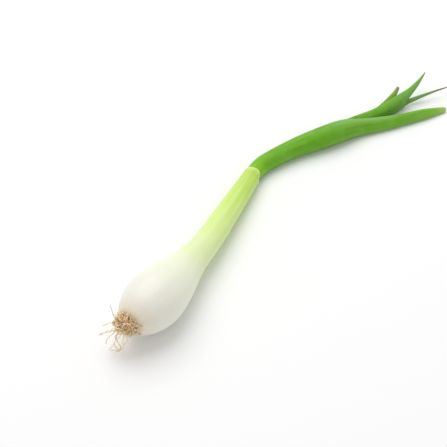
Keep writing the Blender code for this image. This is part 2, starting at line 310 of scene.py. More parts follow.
# Soft lengthwise folds of the leaves inside show through, and the collar's edge waves and is torn on one
# side. A size is how fast a pattern changes round the stem, and a stretch is how fast it changes up it.
FOLD_DEPTH, FOLD_SIZE, FOLD_STRETCH = 0.00028, 1.7, 9.0
FOLD_LEVEL = 0.35                   # what the folds are measured from, so that they mostly sink in
VEIN_SHARE, VEIN_SIZE, VEIN_STRETCH = 0.22, 7.0, 14.0
EDGE_REACH = 0.012                  # how far below the collar's edge it begins to wave
EDGE_WAVE, EDGE_SIZE = 0.0007, 1.3
COLLAR_TEAR = 0.0042                # how far down it is torn on its right-hand side
TEAR_SIDE = Vector((math.cos(math.radians(12.0)), -math.sin(math.radians(12.0))))
TEAR_FROM, TEAR_SPAN = 0.55, 0.45   # it begins that square to the side, and takes this much more to full
TEAR_FADE = 1.4                     # above 1 the tear reaches its full depth before the very edge
for vertex in sheath.data.vertices:
    x, along, z = vertex.co
    around = Vector((x, z))
    if around.length > END_REACH:
        turn = around.normalized()
        fold = noise.noise(Vector((turn.x * FOLD_SIZE, along * FOLD_STRETCH, turn.y * FOLD_SIZE + 4.0)))
        vein = noise.noise(Vector((turn.x * VEIN_SIZE, along * VEIN_STRETCH, turn.y * VEIN_SIZE)))
        push = FOLD_DEPTH * (fold - FOLD_LEVEL) + FOLD_DEPTH * VEIN_SHARE * vein
        vertex.co.x += turn.x * push
        vertex.co.z += turn.y * push
        rim = max(0.0, (along - SHEATH_LENGTH + EDGE_REACH) / EDGE_REACH)
        edge = noise.noise(Vector((turn.x * EDGE_SIZE, 7.0, turn.y * EDGE_SIZE)))
        vertex.co.y += EDGE_WAVE * edge * rim * rim
        torn = max(0.0, (turn.dot(TEAR_SIDE) - TEAR_FROM) / TEAR_SPAN)
        vertex.co.y -= COLLAR_TEAR * torn * torn * (3.0 - 2.0 * torn) * min(rim * TEAR_FADE, 1.0)
sheath_course = [sheath_centre(d) for d in evenly(0.0, SHEATH_LENGTH, COURSE_STEP)]
bend_along(sheath, sheath_course)
finish_skin(sheath)


def nodes_of(material):
    """The nodes and links of a material."""
    return material.node_tree.nodes, material.node_tree.links


def growth_part(material, part):
    """Socket with one part of where a point grew: X and Z go round the stem, Y goes up it."""
    nodes, links = nodes_of(material)
    read = nodes.new("ShaderNodeAttribute")
    read.attribute_name = "growth"
    split = nodes.new("ShaderNodeSeparateXYZ")
    links.new(read.outputs["Vector"], split.inputs["Vector"])
    return split.outputs[part]


def vein_noise(material, around, along, detail=3.0, seed=0.0):
    """Noise drawn out lengthwise: fine round the stem, long up it."""
    nodes, links = nodes_of(material)
    read = nodes.new("ShaderNodeAttribute")
    read.attribute_name = "growth"
    stretch = nodes.new("ShaderNodeMapping")
    stretch.inputs["Scale"].default_value = (around, along, around)
    stretch.inputs["Location"].default_value = (seed, seed, seed)
    links.new(read.outputs["Vector"], stretch.inputs["Vector"])
    grain = nodes.new("ShaderNodeTexNoise")
    grain.inputs["Scale"].default_value = 1.0
    grain.inputs["Detail"].default_value = detail
    links.new(stretch.outputs["Vector"], grain.inputs["Vector"])
    return grain.outputs["Fac"]


def body_noise(material, scale, detail=3.0):
    """Noise in the onion's own metres, for blotches and pores."""
    nodes, links = nodes_of(material)
    place = nodes.new("ShaderNodeTexCoord")
    grain = nodes.new("ShaderNodeTexNoise")
    grain.inputs["Scale"].default_value = scale
    grain.inputs["Detail"].default_value = detail
    links.new(place.outputs["Object"], grain.inputs["Vector"])
    return grain.outputs["Fac"]


def colours_along(material, source, stops):
    """A ramp of (place, colour) read at a socket's value."""
    nodes, links = nodes_of(material)
    ramp = nodes.new("ShaderNodeValToRGB")
    ramp.color_ramp.interpolation = "EASE"
    points = ramp.color_ramp.elements
    points[0].position, points[0].color = stops[0][0], (*stops[0][1], 1.0)
    points[1].position, points[1].color = stops[-1][0], (*stops[-1][1], 1.0)
    for place, colour in stops[1:-1]:
        points.new(place).color = (*colour, 1.0)
    links.new(source, ramp.inputs["Fac"])
    return ramp.outputs["Color"]


def spread(material, source, low, high, to_low=0.0, to_high=1.0):
    """Stretches a socket's low to high into another range, held at both ends."""
    nodes, links = nodes_of(material)
    mapping = nodes.new("ShaderNodeMapRange")
    mapping.inputs["From Min"].default_value = low
    mapping.inputs["From Max"].default_value = high
    mapping.inputs["To Min"].default_value = to_low
    mapping.inputs["To Max"].default_value = to_high
    links.new(source, mapping.inputs["Value"])
    return mapping.outputs["Result"]


def times(material, first, second):
    """Product of two sockets."""
    nodes, links = nodes_of(material)
    product = nodes.new("ShaderNodeMath")
    product.operation = "MULTIPLY"
    links.new(first, product.inputs[0])
    links.new(second, product.inputs[1])
    return product.outputs["Value"]


def tint(material, base, colour, share):
    """Mixes a colour into a colour socket by a share socket."""
    nodes, links = nodes_of(material)
    mix = nodes.new("ShaderNodeMix")
    mix.data_type = "RGBA"
    colour_sockets = [socket for socket in mix.inputs if socket.type == "RGBA"]
    colour_sockets[1].default_value = (*colour, 1.0)
    links.new(share, mix.inputs["Factor"])
    links.new(base, colour_sockets[0])
    return [socket for socket in mix.outputs if socket.type == "RGBA"][0]


def raise_grain(material, height, depth, strength=1.0):
    """Bump of a real depth in metres."""
    nodes, links = nodes_of(material)
    bump = nodes.new("ShaderNodeBump")
    bump.inputs["Strength"].default_value = strength
    bump.inputs["Distance"].default_value = depth
    links.new(height, bump.inputs["Height"])
    return bump.outputs["Normal"]


VEIN_GREEN = (0.42, 0.66, 0.10)
BAND_PALE = (0.82, 0.91, 0.48)
BASE_VEIN_TAN = (0.68, 0.49, 0.33)
white_skin, skin_shader, skin_links = new_finish("white_skin")
skin_along = growth_part(white_skin, "Y")
skin_colour = colours_along(white_skin, skin_along, (
    (0.000, (0.68, 0.48, 0.30)),
    (0.010, (0.80, 0.67, 0.50)),
    (0.026, (0.85, 0.79, 0.68)),
    (0.090, (0.87, 0.85, 0.77)),
    (0.300, (0.87, 0.90, 0.72)),
    (0.450, (0.78, 0.89, 0.48)),
    (0.620, (0.70, 0.87, 0.30)),
    (0.780, (0.60, 0.82, 0.17)),
    (0.920, (0.54, 0.76, 0.14)),
    (0.975, (0.50, 0.72, 0.11)),
    (0.990, (0.64, 0.79, 0.20)),
    (1.000, (0.72, 0.83, 0.28))))
skin_veins = vein_noise(white_skin, 15.0, 5.0, detail=2.0)
skin_bands = vein_noise(white_skin, 2.2, 3.0, detail=2.0, seed=5.0)
green_share = times(white_skin, spread(white_skin, skin_veins, 0.50, 0.68),
                    spread(white_skin, skin_along, 0.25, 0.95, 0.05, 0.38))
skin_colour = tint(white_skin, skin_colour, VEIN_GREEN, green_share)
pale_share = times(white_skin, spread(white_skin, skin_bands, 0.46, 0.74, 0.0, 0.45),
                   spread(white_skin, skin_along, 0.2, 0.6))
skin_colour = tint(white_skin, skin_colour, BAND_PALE, pale_share)
base_veins = times(white_skin, spread(white_skin, skin_veins, 0.48, 0.66),
                   spread(white_skin, skin_along, 0.0, 0.048, 0.36, 0.0))
skin_colour = tint(white_skin, skin_colour, BASE_VEIN_TAN, base_veins)
skin_polish = spread(white_skin, body_noise(white_skin, 90.0), 0.3, 0.7, 0.30, 0.40)
skin_links.new(skin_colour, skin_shader.inputs["Base Color"])
skin_links.new(skin_polish, skin_shader.inputs["Roughness"])
skin_links.new(raise_grain(white_skin, skin_veins, 0.00022, 0.35), skin_shader.inputs["Normal"])
skin_shader.inputs["Subsurface Weight"].default_value = 0.30
skin_shader.inputs["Subsurface Radius"].default_value = (1.0, 0.85, 0.45)
skin_shader.inputs["Subsurface Scale"].default_value = 0.0022
skin_shader.inputs["Specular IOR Level"].default_value = 0.35
skin_shader.inputs["Coat Weight"].default_value = 0.08
skin_shader.inputs["Coat Roughness"].default_value = 0.22
sheath.data.materials.append(white_skin)
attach(sheath, "root")
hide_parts("bulb")

# ---- Dry skin round the base ----
# What is left of an older outer skin: a film as thin as paper that tore off round the bulb and dried on
# in ragged tan tongues just above the root plate.
FILM_SIDES = 144
FILM_START = 0.0004
FILM_REACH = 0.0022
FILM_RINGS = 6
FILM_LIFT = 0.00018                 # how far off the bulb it stands
FILM_WALL = 0.0001
TONGUE_REACH, TONGUE_DEPTH, TONGUE_SIZE = 0.50, 0.85, 2.6
SHRED_DEPTH, SHRED_SIZE = 0.35, 11.0
SHORTEST_TONGUE = 0.10
CLING, CURL, CURL_SIZE = 0.6, 1.6, 5.0      # how far it stands off at its foot, and more at its tips

film_distances = evenly(FILM_START, FILM_START + FILM_REACH, FILM_REACH / FILM_RINGS)
film_rings = [(d, sheath_radius(d) + FILM_LIFT) for d in film_distances]
film = grow_straight("dry_base_skin", FILM_SIDES, film_rings)
note_growth(film, FILM_REACH, FILM_START)
for vertex in film.data.vertices:
    turn = Vector((vertex.co.x, vertex.co.z)).normalized()
    share = (vertex.co.y - FILM_START) / FILM_REACH
    tongue = noise.noise(Vector((turn.x * TONGUE_SIZE, 1.5, turn.y * TONGUE_SIZE)))
    shred = noise.noise(Vector((turn.x * SHRED_SIZE, 3.0, turn.y * SHRED_SIZE)))
    tear = TONGUE_REACH + TONGUE_DEPTH * tongue + SHRED_DEPTH * shred
    reach = FILM_START + FILM_REACH * max(SHORTEST_TONGUE, min(tear, 1.0)) * share
    curl = noise.noise(Vector((turn.x * CURL_SIZE, share, turn.y * CURL_SIZE)))
    radius = sheath_radius(reach) + FILM_LIFT * (CLING + CURL * share * (0.5 + curl))
    vertex.co = (turn.x * radius, reach, turn.y * radius)
wall = film.modifiers.new("paper_wall", "SOLIDIFY")
wall.thickness = FILM_WALL
take_up(film)
bpy.ops.object.modifier_apply(modifier="paper_wall")
bend_along(film, sheath_course)
finish_skin(film)

dry_film, film_shader, film_links = new_finish("dry_film")
film_veins = vein_noise(dry_film, 16.0, 1.2)
film_colour = colours_along(dry_film, film_veins, (
    (0.30, (0.60, 0.42, 0.25)),
    (0.50, (0.76, 0.60, 0.42)),
    (0.70, (0.85, 0.75, 0.60))))
film_links.new(film_colour, film_shader.inputs["Base Color"])
film_links.new(raise_grain(dry_film, film_veins, 0.0002, 0.7), film_shader.inputs["Normal"])
film_shader.inputs["Roughness"].default_value = 0.48
film_shader.inputs["Subsurface Weight"].default_value = 0.2
film_shader.inputs["Subsurface Scale"].default_value = 0.001
film.data.materials.append(dry_film)
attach(film, "root")

# ---- Root plate ----
# The flat, corky foot of the bulb that every root grows out of: tan, cracked and uneven at its edge. It is
# the plant's true stem, shortened to a disc, and every layer of the bulb is joined to it.
ROOT_PLATE_FACE = 0.0092
PLATE_SIDES = 48
PLATE_PROFILE = (                   # from inside the bulb out to the face: (distance, radius)
    (-0.0002, 0.0047), (0.0002, ROOT_PLATE_DIAMETER / 2), (0.0010, 0.0056), (0.0018, 0.0050),
    (0.0022, ROOT_PLATE_FACE / 2), (0.0025, 0.0034), (0.0026, 0.0018), (0.0027, 0.0004))
PLATE_LUMPS = ((900.0, 0.00032), (2600.0, 0.00012))     # fineness and height of its coarse and fine lumps
plate = grow_straight("root_plate_crust", PLATE_SIDES, PLATE_PROFILE)
close_end(plate, PLATE_PROFILE[0][0])
close_end(plate, PLATE_PROFILE[-1][0])
for vertex in plate.data.vertices:
    lump = sum(noise.noise(vertex.co * fineness) * height for fineness, height in PLATE_LUMPS)
    vertex.co += vertex.co.normalized() * lump
plate_turn = plate_outward.to_track_quat("Y", "Z").to_matrix().to_4x4()
plate_back = plate_middle - plate_outward * ROOT_PLATE_THICKNESS / 2
plate.data.transform(Matrix.Translation(plate_back) @ plate_turn)
finish_skin(plate)

root_crust, crust_shader, crust_links = new_finish("root_crust")
crust_grain = body_noise(root_crust, 1500.0, 5.0)
crust_colour = colours_along(root_crust, crust_grain, (
    (0.30, (0.46, 0.28, 0.13)),
    (0.50, (0.66, 0.45, 0.25)),
    (0.70, (0.80, 0.62, 0.40))))
crust_links.new(crust_colour, crust_shader.inputs["Base Color"])
crust_links.new(raise_grain(root_crust, crust_grain, 0.0004), crust_shader.inputs["Normal"])
crust_shader.inputs["Roughness"].default_value = 0.85
plate.data.materials.append(root_crust)
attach(plate, "root")
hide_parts("root_plate")

# ---- Tuft of short roots ----
# A dense brush of trimmed, dried roots no thicker than thread. They leave the root plate on all sides,
# curl back on themselves and end in a dark cut tip.
ROOT_THICKNESS = 0.00058
TUFT_COUNT = 320
TUFT_LENGTH = 0.0060
TUFT_SPREAD = 88.0                  # how far the outermost roots lean from straight out, in degrees
TUFT_SEED = 5
TUFT_PATTERNS = (                   # (how much it waves, how far its tip bends over, share of the length)
    (0.5, 1.6, 0.8), (0.9, 2.9, 1.0), (-0.8, 3.8, 1.0), (1.1, 4.6, 1.2),
    (-0.5, 2.4, 0.7), (0.8, 5.4, 1.35), (-1.2, 2.0, 0.8), (0.3, 4.2, 1.0))
PATTERN_POINTS, PATTERN_SIDES, PATTERN_RINGS = 12, 5, 9
ROOT_TAPER = 0.45
ROOT_KNOTS, KNOT_TURNS = 0.10, 17.0     # how much it swells and thins, and how often
WAVE_TURNS, WAVE_SHIFT = 5.5, 3.0
CROWDING = 1.15                     # above 1 more of the roots point straight out
UPWARD, LEFTWARD = 0.34, 0.30       # the whole tuft was pressed up and to the left
LEAN_RANGE, SIZE_RANGE = (0.85, 1.1), (0.62, 1.02)
LONGER_ABOVE, LONGER_LEFT = 0.30, 0.26
FOOT_MARGIN, EDGE_SINK = 0.0004, 0.0016     # outermost feet: in from the plate's edge, back from its face
GOLDEN_ANGLE = math.pi * (3.0 - math.sqrt(5.0))
plate_right = plate_outward.cross(Vector((0.0, 0.0, -1.0))).normalized()
plate_up = plate_outward.cross(plate_right).normalized()
plate_face = plate_middle + plate_outward * ROOT_PLATE_THICKNESS / 2
dice = random.Random(TUFT_SEED)


def thread(name, centres, thickness, sides, rings):
    """One root: a thin tapering tube bent along a line of points that starts on the root plate."""
    length = sum((b - a).length for a, b in zip(centres, centres[1:]))
    spots = []
    for i in range(rings + 1):
        share = i / rings
        knot = 1.0 + ROOT_KNOTS * math.sin(share * KNOT_TURNS)
        spots.append((length * share, thickness / 2 * (1.0 - ROOT_TAPER * share) * knot))
    root = grow_straight(name, sides, spots)
    close_end(root, length)
    note_growth(root, length)
    bend_along(root, centres)
    return root


def curled_course(length, curl, hook, rings):
    """Points of a root that first stands straight up along +Z, waves by curl and bends over by hook."""
    point, points = Vector((0.0, 0.0, 0.0)), [Vector((0.0, 0.0, 0.0))]
    for i in range(1, rings + 1):
        share = i / rings
        lean = hook * share * share
        sway = curl * math.sin(share * WAVE_TURNS + curl * WAVE_SHIFT)
        step = Vector((math.sin(lean), sway * share, math.cos(lean))).normalized()
        point = point + step * length / rings
        points.append(point.copy())
    return points


def note_shade(root, tone):
    """Keeps how pale a root dried, for its colour."""
    shade = root.data.attributes.new("shade", "FLOAT", "POINT")
    for note in shade.data:
        note.value = tone


tuft_patterns = []
for number, (curl, hook, share) in enumerate(TUFT_PATTERNS):
    course = curled_course(TUFT_LENGTH * share, curl, hook, PATTERN_POINTS)
    tuft_patterns.append(thread("tuft_pattern_%d" % number, course, ROOT_THICKNESS,
                                PATTERN_SIDES, PATTERN_RINGS))

tuft_roots = []
for index in range(TUFT_COUNT):
    share = math.sqrt((index + 0.5) / TUFT_COUNT)
    around = index * GOLDEN_ANGLE
    across = plate_right * math.cos(around) + plate_up * math.sin(around)
    lean = math.radians(TUFT_SPREAD) * share ** CROWDING * dice.uniform(*LEAN_RANGE)
    run = plate_outward * math.cos(lean) + across * math.sin(lean)
    run = (run + plate_up * UPWARD - plate_right * LEFTWARD).normalized()
    foot = plate_face + across * (ROOT_PLATE_DIAMETER / 2 - FOOT_MARGIN) * share
    foot -= plate_outward * EDGE_SINK * share ** 3
    if index < len(tuft_patterns):
        pick = index
    else:
        pick = dice.randrange(len(tuft_patterns))
    size = dice.uniform(*SIZE_RANGE) * (1.0 + LONGER_ABOVE * across.dot(plate_up)
                                        - LONGER_LEFT * across.dot(plate_right))
    take_up(tuft_patterns[pick])
    bpy.ops.object.duplicate()
    root = bpy.context.object
    twist = Matrix.Rotation(dice.uniform(0.0, 2.0 * math.pi), 4, "Z")
    stand = run.to_track_quat("Z", "Y").to_matrix().to_4x4()
    root.data.transform(Matrix.Translation(foot) @ stand @ twist @ Matrix.Scale(size, 4))
    note_shade(root, dice.random())
    tuft_roots.append(root)
for pattern in tuft_patterns:
    bpy.data.objects.remove(pattern, do_unlink=True)
bpy.ops.object.select_all(action="DESELECT")
for root in tuft_roots:
    root.select_set(True)
bpy.context.view_layer.objects.active = tuft_roots[0]
bpy.ops.object.join()
tuft = bpy.context.object
tuft.name = "root_tuft"
finish_skin(tuft)

TIP_BROWN = (0.40, 0.23, 0.10)
SPECK_BROWN = (0.44, 0.27, 0.13)
pale_root, root_shader, root_links = new_finish("pale_root")
root_tone = pale_root.node_tree.nodes.new("ShaderNodeAttribute")
root_tone.attribute_name = "shade"
root_colour = colours_along(pale_root, root_tone.outputs["Fac"], (
    (0.00, (0.80, 0.53, 0.25)),
    (0.35, (0.94, 0.70, 0.40)),
    (0.70, (0.96, 0.77, 0.49)),
    (1.00, (0.97, 0.86, 0.64))))
root_along = growth_part(pale_root, "Y")
tip_share = spread(pale_root, root_along, 0.76, 1.0, 0.0, 0.40)
root_colour = tint(pale_root, root_colour, TIP_BROWN, tip_share)
root_grain = body_noise(pale_root, 2200.0, 4.0)
speck_share = spread(pale_root, root_grain, 0.52, 0.74, 0.0, 0.35)
root_colour = tint(pale_root, root_colour, SPECK_BROWN, speck_share)
root_links.new(root_colour, root_shader.inputs["Base Color"])
root_links.new(raise_grain(pale_root, root_grain, 0.0001, 0.8), root_shader.inputs["Normal"])
root_shader.inputs["Roughness"].default_value = 0.62
root_shader.inputs["Subsurface Weight"].default_value = 0.15
root_shader.inputs["Subsurface Radius"].default_value = (1.0, 0.8, 0.6)
root_shader.inputs["Subsurface Scale"].default_value = 0.0006
tuft.data.materials.append(pale_root)
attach(tuft, "root")
LONG_ROOT_NODES = 9
root_nodes_in_frame = sorted(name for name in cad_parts
                             if name.startswith("root_") and name[-1].isdigit())
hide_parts(*root_nodes_in_frame[:-LONG_ROOT_NODES])

# ---- Long roots ----
# A few roots escaped the knife. They hang from the tuft like hairs, pale and soft, and sag to the ground.
# Each grows out of the root plate and bends through its knees to its tip: (right, out, up) of the plate.
LONG_ROOTS = (
    ((-0.0037, 0.0050, -0.0057), (-0.0022, 0.0054, -0.0110), (-0.0010, 0.0056, -0.0148),
     (-0.0051, 0.0084, -0.0178)),
    ((-0.0028, 0.0045, -0.0050), (-0.0036, 0.0062, -0.0105), (-0.0018, 0.0070, -0.0155)),
    ((0.0030, 0.0034, -0.0040), (0.0024, 0.0044, -0.0088), (0.0003, 0.0056, -0.0140),
     (-0.0032, 0.0082, -0.0176)),
    ((0.0012, 0.0042, -0.0048), (0.0020, 0.0062, -0.0100), (0.0004, 0.0074, -0.0158)),
    ((-0.0051, 0.0048, -0.0025), (-0.0085, 0.0075, -0.0048), (-0.0134, 0.0080, -0.0098)),
    ((-0.0045, 0.0040, -0.0030), (-0.0092, 0.0060, -0.0058), (-0.0130, 0.0090, -0.0085)),
    ((-0.0050, 0.0014, 0.0020), (-0.0080, 0.0006, 0.0060), (-0.0096, 0.0002, 0.0115)),
    ((-0.0015, 0.0018, 0.0050), (-0.0042, 0.0012, 0.0080), (-0.0099, 0.0006, 0.0036)),
    ((-0.0010, 0.0045, -0.0045), (-0.0034, 0.0072, -0.0110), (-0.0066, 0.0092, -0.0165)),
    ((-0.0046, 0.0030, 0.0004), (-0.0084, 0.0040, 0.0012), (-0.0108, 0.0060, -0.0020)),
    ((-0.0044, 0.0044, -0.0036), (-0.0070, 0.0060, -0.0080), (-0.0086, 0.0086, -0.0140)),
    ((0.0000, 0.0040, 0.0020), (-0.0030, 0.0066, 0.0030), (-0.0058, 0.0072, -0.0020)),
)
LONG_ROOT_FOOT = (0.0, 0.001, 0.0)
LONG_ROOT_THICKNESS = 0.00072
LONG_ROOT_SIDES, LONG_ROOT_RINGS = 8, 30
BEND_POINTS = 8                     # points from one knee to the next
SWAY_SIDEWAYS = (0.0006, 11.0, 2.1)      # how far it sways, how often, and how the next root is shifted
SWAY_OUTWARD = (0.0005, 9.0, 1.3)
LYING_HEIGHT = 0.4                  # of its thickness, where it lies on the ground
DARKEST_TONE, TONE_RANGE, TONE_STEP = 0.62, 0.38, 0.618
UP = Vector((0.0, 0.0, 1.0))


def smooth_line(points, count):
    """Points along one smooth bend through a few chosen ones."""
    ends = [points[0] * 2 - points[1]] + list(points) + [points[-1] * 2 - points[-2]]
    line = []
    for a, b, c, d in zip(ends, ends[1:], ends[2:], ends[3:]):
        for i in range(count):
            t = i / count
            line.append(0.5 * (2 * b + (c - a) * t + (2 * a - 5 * b + 4 * c - d) * t * t
                               + (3 * b - a - 3 * c + d) * t ** 3))
    line.append(points[-1])
    return line


long_roots = []
for number, spots in enumerate(LONG_ROOTS):
    places = [plate_middle + plate_right * right + plate_outward * out + UP * up
              for right, out, up in (LONG_ROOT_FOOT,) + spots]
    line = smooth_line(places, BEND_POINTS)
    for i, point in enumerate(line):
        share = i / (len(line) - 1)
        for side, (far, often, shift) in ((plate_right, SWAY_SIDEWAYS), (plate_outward, SWAY_OUTWARD)):
            point += side * far * share * math.sin(share * often + number * shift)
        point.z = max(point.z, LONG_ROOT_THICKNESS * LYING_HEIGHT)
    root = thread("long_root_%02d" % (number + 1), line, LONG_ROOT_THICKNESS,
                  LONG_ROOT_SIDES, LONG_ROOT_RINGS)
    note_shade(root, DARKEST_TONE + TONE_RANGE * ((number * TONE_STEP) % 1.0))
    root.data.materials.append(pale_root)
    finish_skin(root)
    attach(root, "root")
    long_roots.append(root)
for root, node in zip(long_roots, root_nodes_in_frame[-LONG_ROOT_NODES:]):
    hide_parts(node)

# ---- Outer leaf ----
# The hollow green stalk that comes out of the collar. It swells, then opens in a slit where the younger
# leaves come out, and runs on as a flattened, folded blade with a waxy bloom and a blunt tip.
STALK_ARCS = ((0.014, 27.5), (0.034, 13.5), (0.018, -3.5), (0.024, 13.5), (0.024, -6.5), (0.033, -2.0))
OUTER_LEAF_GIRTH = (                # (distance past the collar, width across)
    (0.0, 0.0104), (0.006, 0.0113), (0.030, 0.0122), (0.062, 0.0146), (0.074, 0.0135),
    (0.086, 0.0109), (0.112, 0.0083), (0.132, 0.0070), (0.147, 0.0040))
STALK_SIDES = 72
STALK_RING_SPACING = 0.0011
STALK_FOOT = 0.010                  # how far its foot goes down inside the collar
BLUNT_TIP = ((0.35, 0.90), (0.65, 0.68), (0.88, 0.38), (0.98, 0.12))     # how it rounds off: (out, width)
OUTER_RIBS, OUTER_RIB_DEPTH = 26, 0.00010
RIB_WANDER, RIB_STRETCH = 2.0, 12.0     # how far a rib strays round the leaf, and how often
SWELL_DEPTH, SWELL_LEVEL = 0.00022, 0.4
SWELL_SIZE, SWELL_STRETCH = 1.5, 30.0
RIB_FULL_RADIUS = 0.004             # ribs and swellings fade where a leaf is thinner than this


def smooth_value(table, position):
    """Value at a position along a table of (position, value), eased through its points."""
    spots = [spot for spot, _ in table]
    values = [value for _, value in table]
    if position <= spots[0]:
        return values[0]
    if position >= spots[-1]:
        return values[-1]
    index = max(i for i, spot in enumerate(spots) if spot <= position)

    def slope(i):
        low, high = max(i - 1, 0), min(i + 1, len(spots) - 1)
        return (values[high] - values[low]) / (spots[high] - spots[low])

    span = spots[index + 1] - spots[index]
    t = (position - spots[index]) / span
    ease = 3.0 * t * t - 2.0 * t ** 3
    bend = slope(index) * (t - 2.0 * t * t + t ** 3) + slope(index + 1) * (t ** 3 - t * t)
    return values[index] * (1.0 - ease) + values[index + 1] * ease + bend * span


def stalk_plan(distance):
    """Plan point and heading at a distance past the collar; a negative distance lies inside the sheath."""
    start = (root_end.x, root_end.y)
    if distance < 0.0:
        return plan_point(start, SHEATH_HEADING, SHEATH_ARCS, SHEATH_LENGTH + distance)
    collar, heading = plan_point(start, SHEATH_HEADING, SHEATH_ARCS, SHEATH_LENGTH)
    return plan_point(collar, heading, STALK_ARCS, distance)


def stalk_radius(distance):
    """Radius of the stalk and blade; its foot fills the collar but for a little room."""
    if distance < 0.0:
        return COLLAR_DIAMETER / 2 - SHEATH_WALL - CLEARANCE
    return smooth_value(OUTER_LEAF_GIRTH, distance) / 2


def stalk_height(distance):
    """Inside the sheath the stalk follows its slope; beyond the collar it settles onto the ground."""
    inside = sheath_height(SHEATH_LENGTH + min(distance, 0.0))
    if distance <= 0.0:
        return inside
    lying = max(stalk_radius(distance) - REST_FLAT / 2, REST_FLAT)
    share = min(distance / OUTER_LEAF_GIRTH[1][0], 1.0)
    return inside + (lying - inside) * share


def rib_leaf(piece, depth, count):
    """Raises fine lengthwise ribs on a straight leaf, and lets its sides swell and sink a little."""
    for vertex in piece.data.vertices:
        around = Vector((vertex.co.x, vertex.co.z))
        if around.length < END_REACH:
            continue
        angle = math.atan2(around.y, around.x)
        turn = around.normalized()
        swell = noise.noise(Vector((turn.x * SWELL_SIZE, vertex.co.y * SWELL_STRETCH, turn.y * SWELL_SIZE)))
        wander = noise.noise(Vector((turn.x, vertex.co.y * RIB_STRETCH, turn.y)))
        rib = math.cos(angle * count + RIB_WANDER * wander)
        share = min(around.length / RIB_FULL_RADIUS, 1.0)
        push = (depth * (0.5 * rib - 0.5) + SWELL_DEPTH * (swell - SWELL_LEVEL)) * share
        vertex.co.x += turn.x * push
        vertex.co.z += turn.y * push


outer_length = sum(arc for arc, _ in STALK_ARCS)
outer_span = STALK_FOOT + outer_length
outer_rings = [(d + STALK_FOOT, stalk_radius(d))
               for d in evenly(-STALK_FOOT, outer_length, STALK_RING_SPACING)]
tip_radius = outer_rings[-1][1]
outer_rings += [(outer_span + tip_radius * out, tip_radius * width) for out, width in BLUNT_TIP]
outer_leaf = grow_straight("outer_leaf_blade", STALK_SIDES, outer_rings)
close_end(outer_leaf, 0.0)
close_end(outer_leaf, outer_rings[-1][0])
note_growth(outer_leaf, outer_span)

# The blade is folded along its upper edge and sinks in below it, more so towards the tip
FOLD_START, FOLD_EASE = 0.066, 0.030
FOLD_TURN = math.radians(128.0)     # where the fold runs, from the right-hand side round over the top
FOLD_SINK, SINK_AT_EDGE, SINK_IN_MIDDLE = 0.34, 0.35, 0.65
LEAF_END_REACH = 0.0002             # points this near the middle line are the leaf's closed ends
fold_axis = Vector((math.cos(FOLD_TURN), math.sin(FOLD_TURN)))
flat_axis = Vector((-fold_axis.y, fold_axis.x))
for vertex in outer_leaf.data.vertices:
    distance = vertex.co.y - STALK_FOOT
    around = Vector((vertex.co.x, vertex.co.z))
    share = min(max((distance - FOLD_START) / FOLD_EASE, 0.0), 1.0)
    if share == 0.0 or around.length < LEAF_END_REACH:
        continue
    share = share * share * (3.0 - 2.0 * share)
    wide, thin = around.dot(fold_axis), around.dot(flat_axis)
    middle = 1.0 - abs(wide) / around.length
    thin *= 1.0 - FOLD_SINK * share * (SINK_AT_EDGE + SINK_IN_MIDDLE * middle)
    vertex.co.x, vertex.co.z = fold_axis * wide + flat_axis * thin

# The edge of its mouth stands up as a thin lip with a groove behind it, where the younger leaves come out
MOUTH_START, MOUTH_END, MOUTH_EASE = 0.060, 0.112, 0.012
LIP_TURN, LIP_HEIGHT = math.radians(124.0), 0.00045
GROOVE_TURN, GROOVE_DEPTH = math.radians(141.0), 0.00080
LIP_WIDTH = math.radians(8.0)
for vertex in outer_leaf.data.vertices:
    distance = vertex.co.y - STALK_FOOT
    share = min((distance - MOUTH_START) / MOUTH_EASE, (MOUTH_END - distance) / MOUTH_EASE, 1.0)
    around = Vector((vertex.co.x, vertex.co.z))
    if share <= 0.0 or around.length < LEAF_END_REACH:
        continue
    angle = math.atan2(around.y, around.x)
    push = LIP_HEIGHT * math.exp(-((angle - LIP_TURN) / LIP_WIDTH) ** 2)
    push -= GROOVE_DEPTH * math.exp(-((angle - GROOVE_TURN) / LIP_WIDTH) ** 2)
    vertex.co.x += around.x / around.length * push * share
    vertex.co.z += around.y / around.length * push * share
rib_leaf(outer_leaf, OUTER_RIB_DEPTH, OUTER_RIBS)
bend_along(outer_leaf, [Vector((*stalk_plan(d)[0], stalk_height(d)))
                        for d in evenly(-STALK_FOOT, outer_length, COURSE_STEP)])
finish_skin(outer_leaf)


LEAF_VEIN = (0.045, 0.16, 0.004)
LEAF_BAND = (0.25, 0.52, 0.04)
LEAF_BLOOM, BLOOM_SHARE = (0.34, 0.56, 0.17), 0.30
# Green of the painted highlight on the outer leaf's upper left side, towards the lamp
PAINTED_HIGHLIGHT_GREEN = (0.25, 0.48, 0.13)


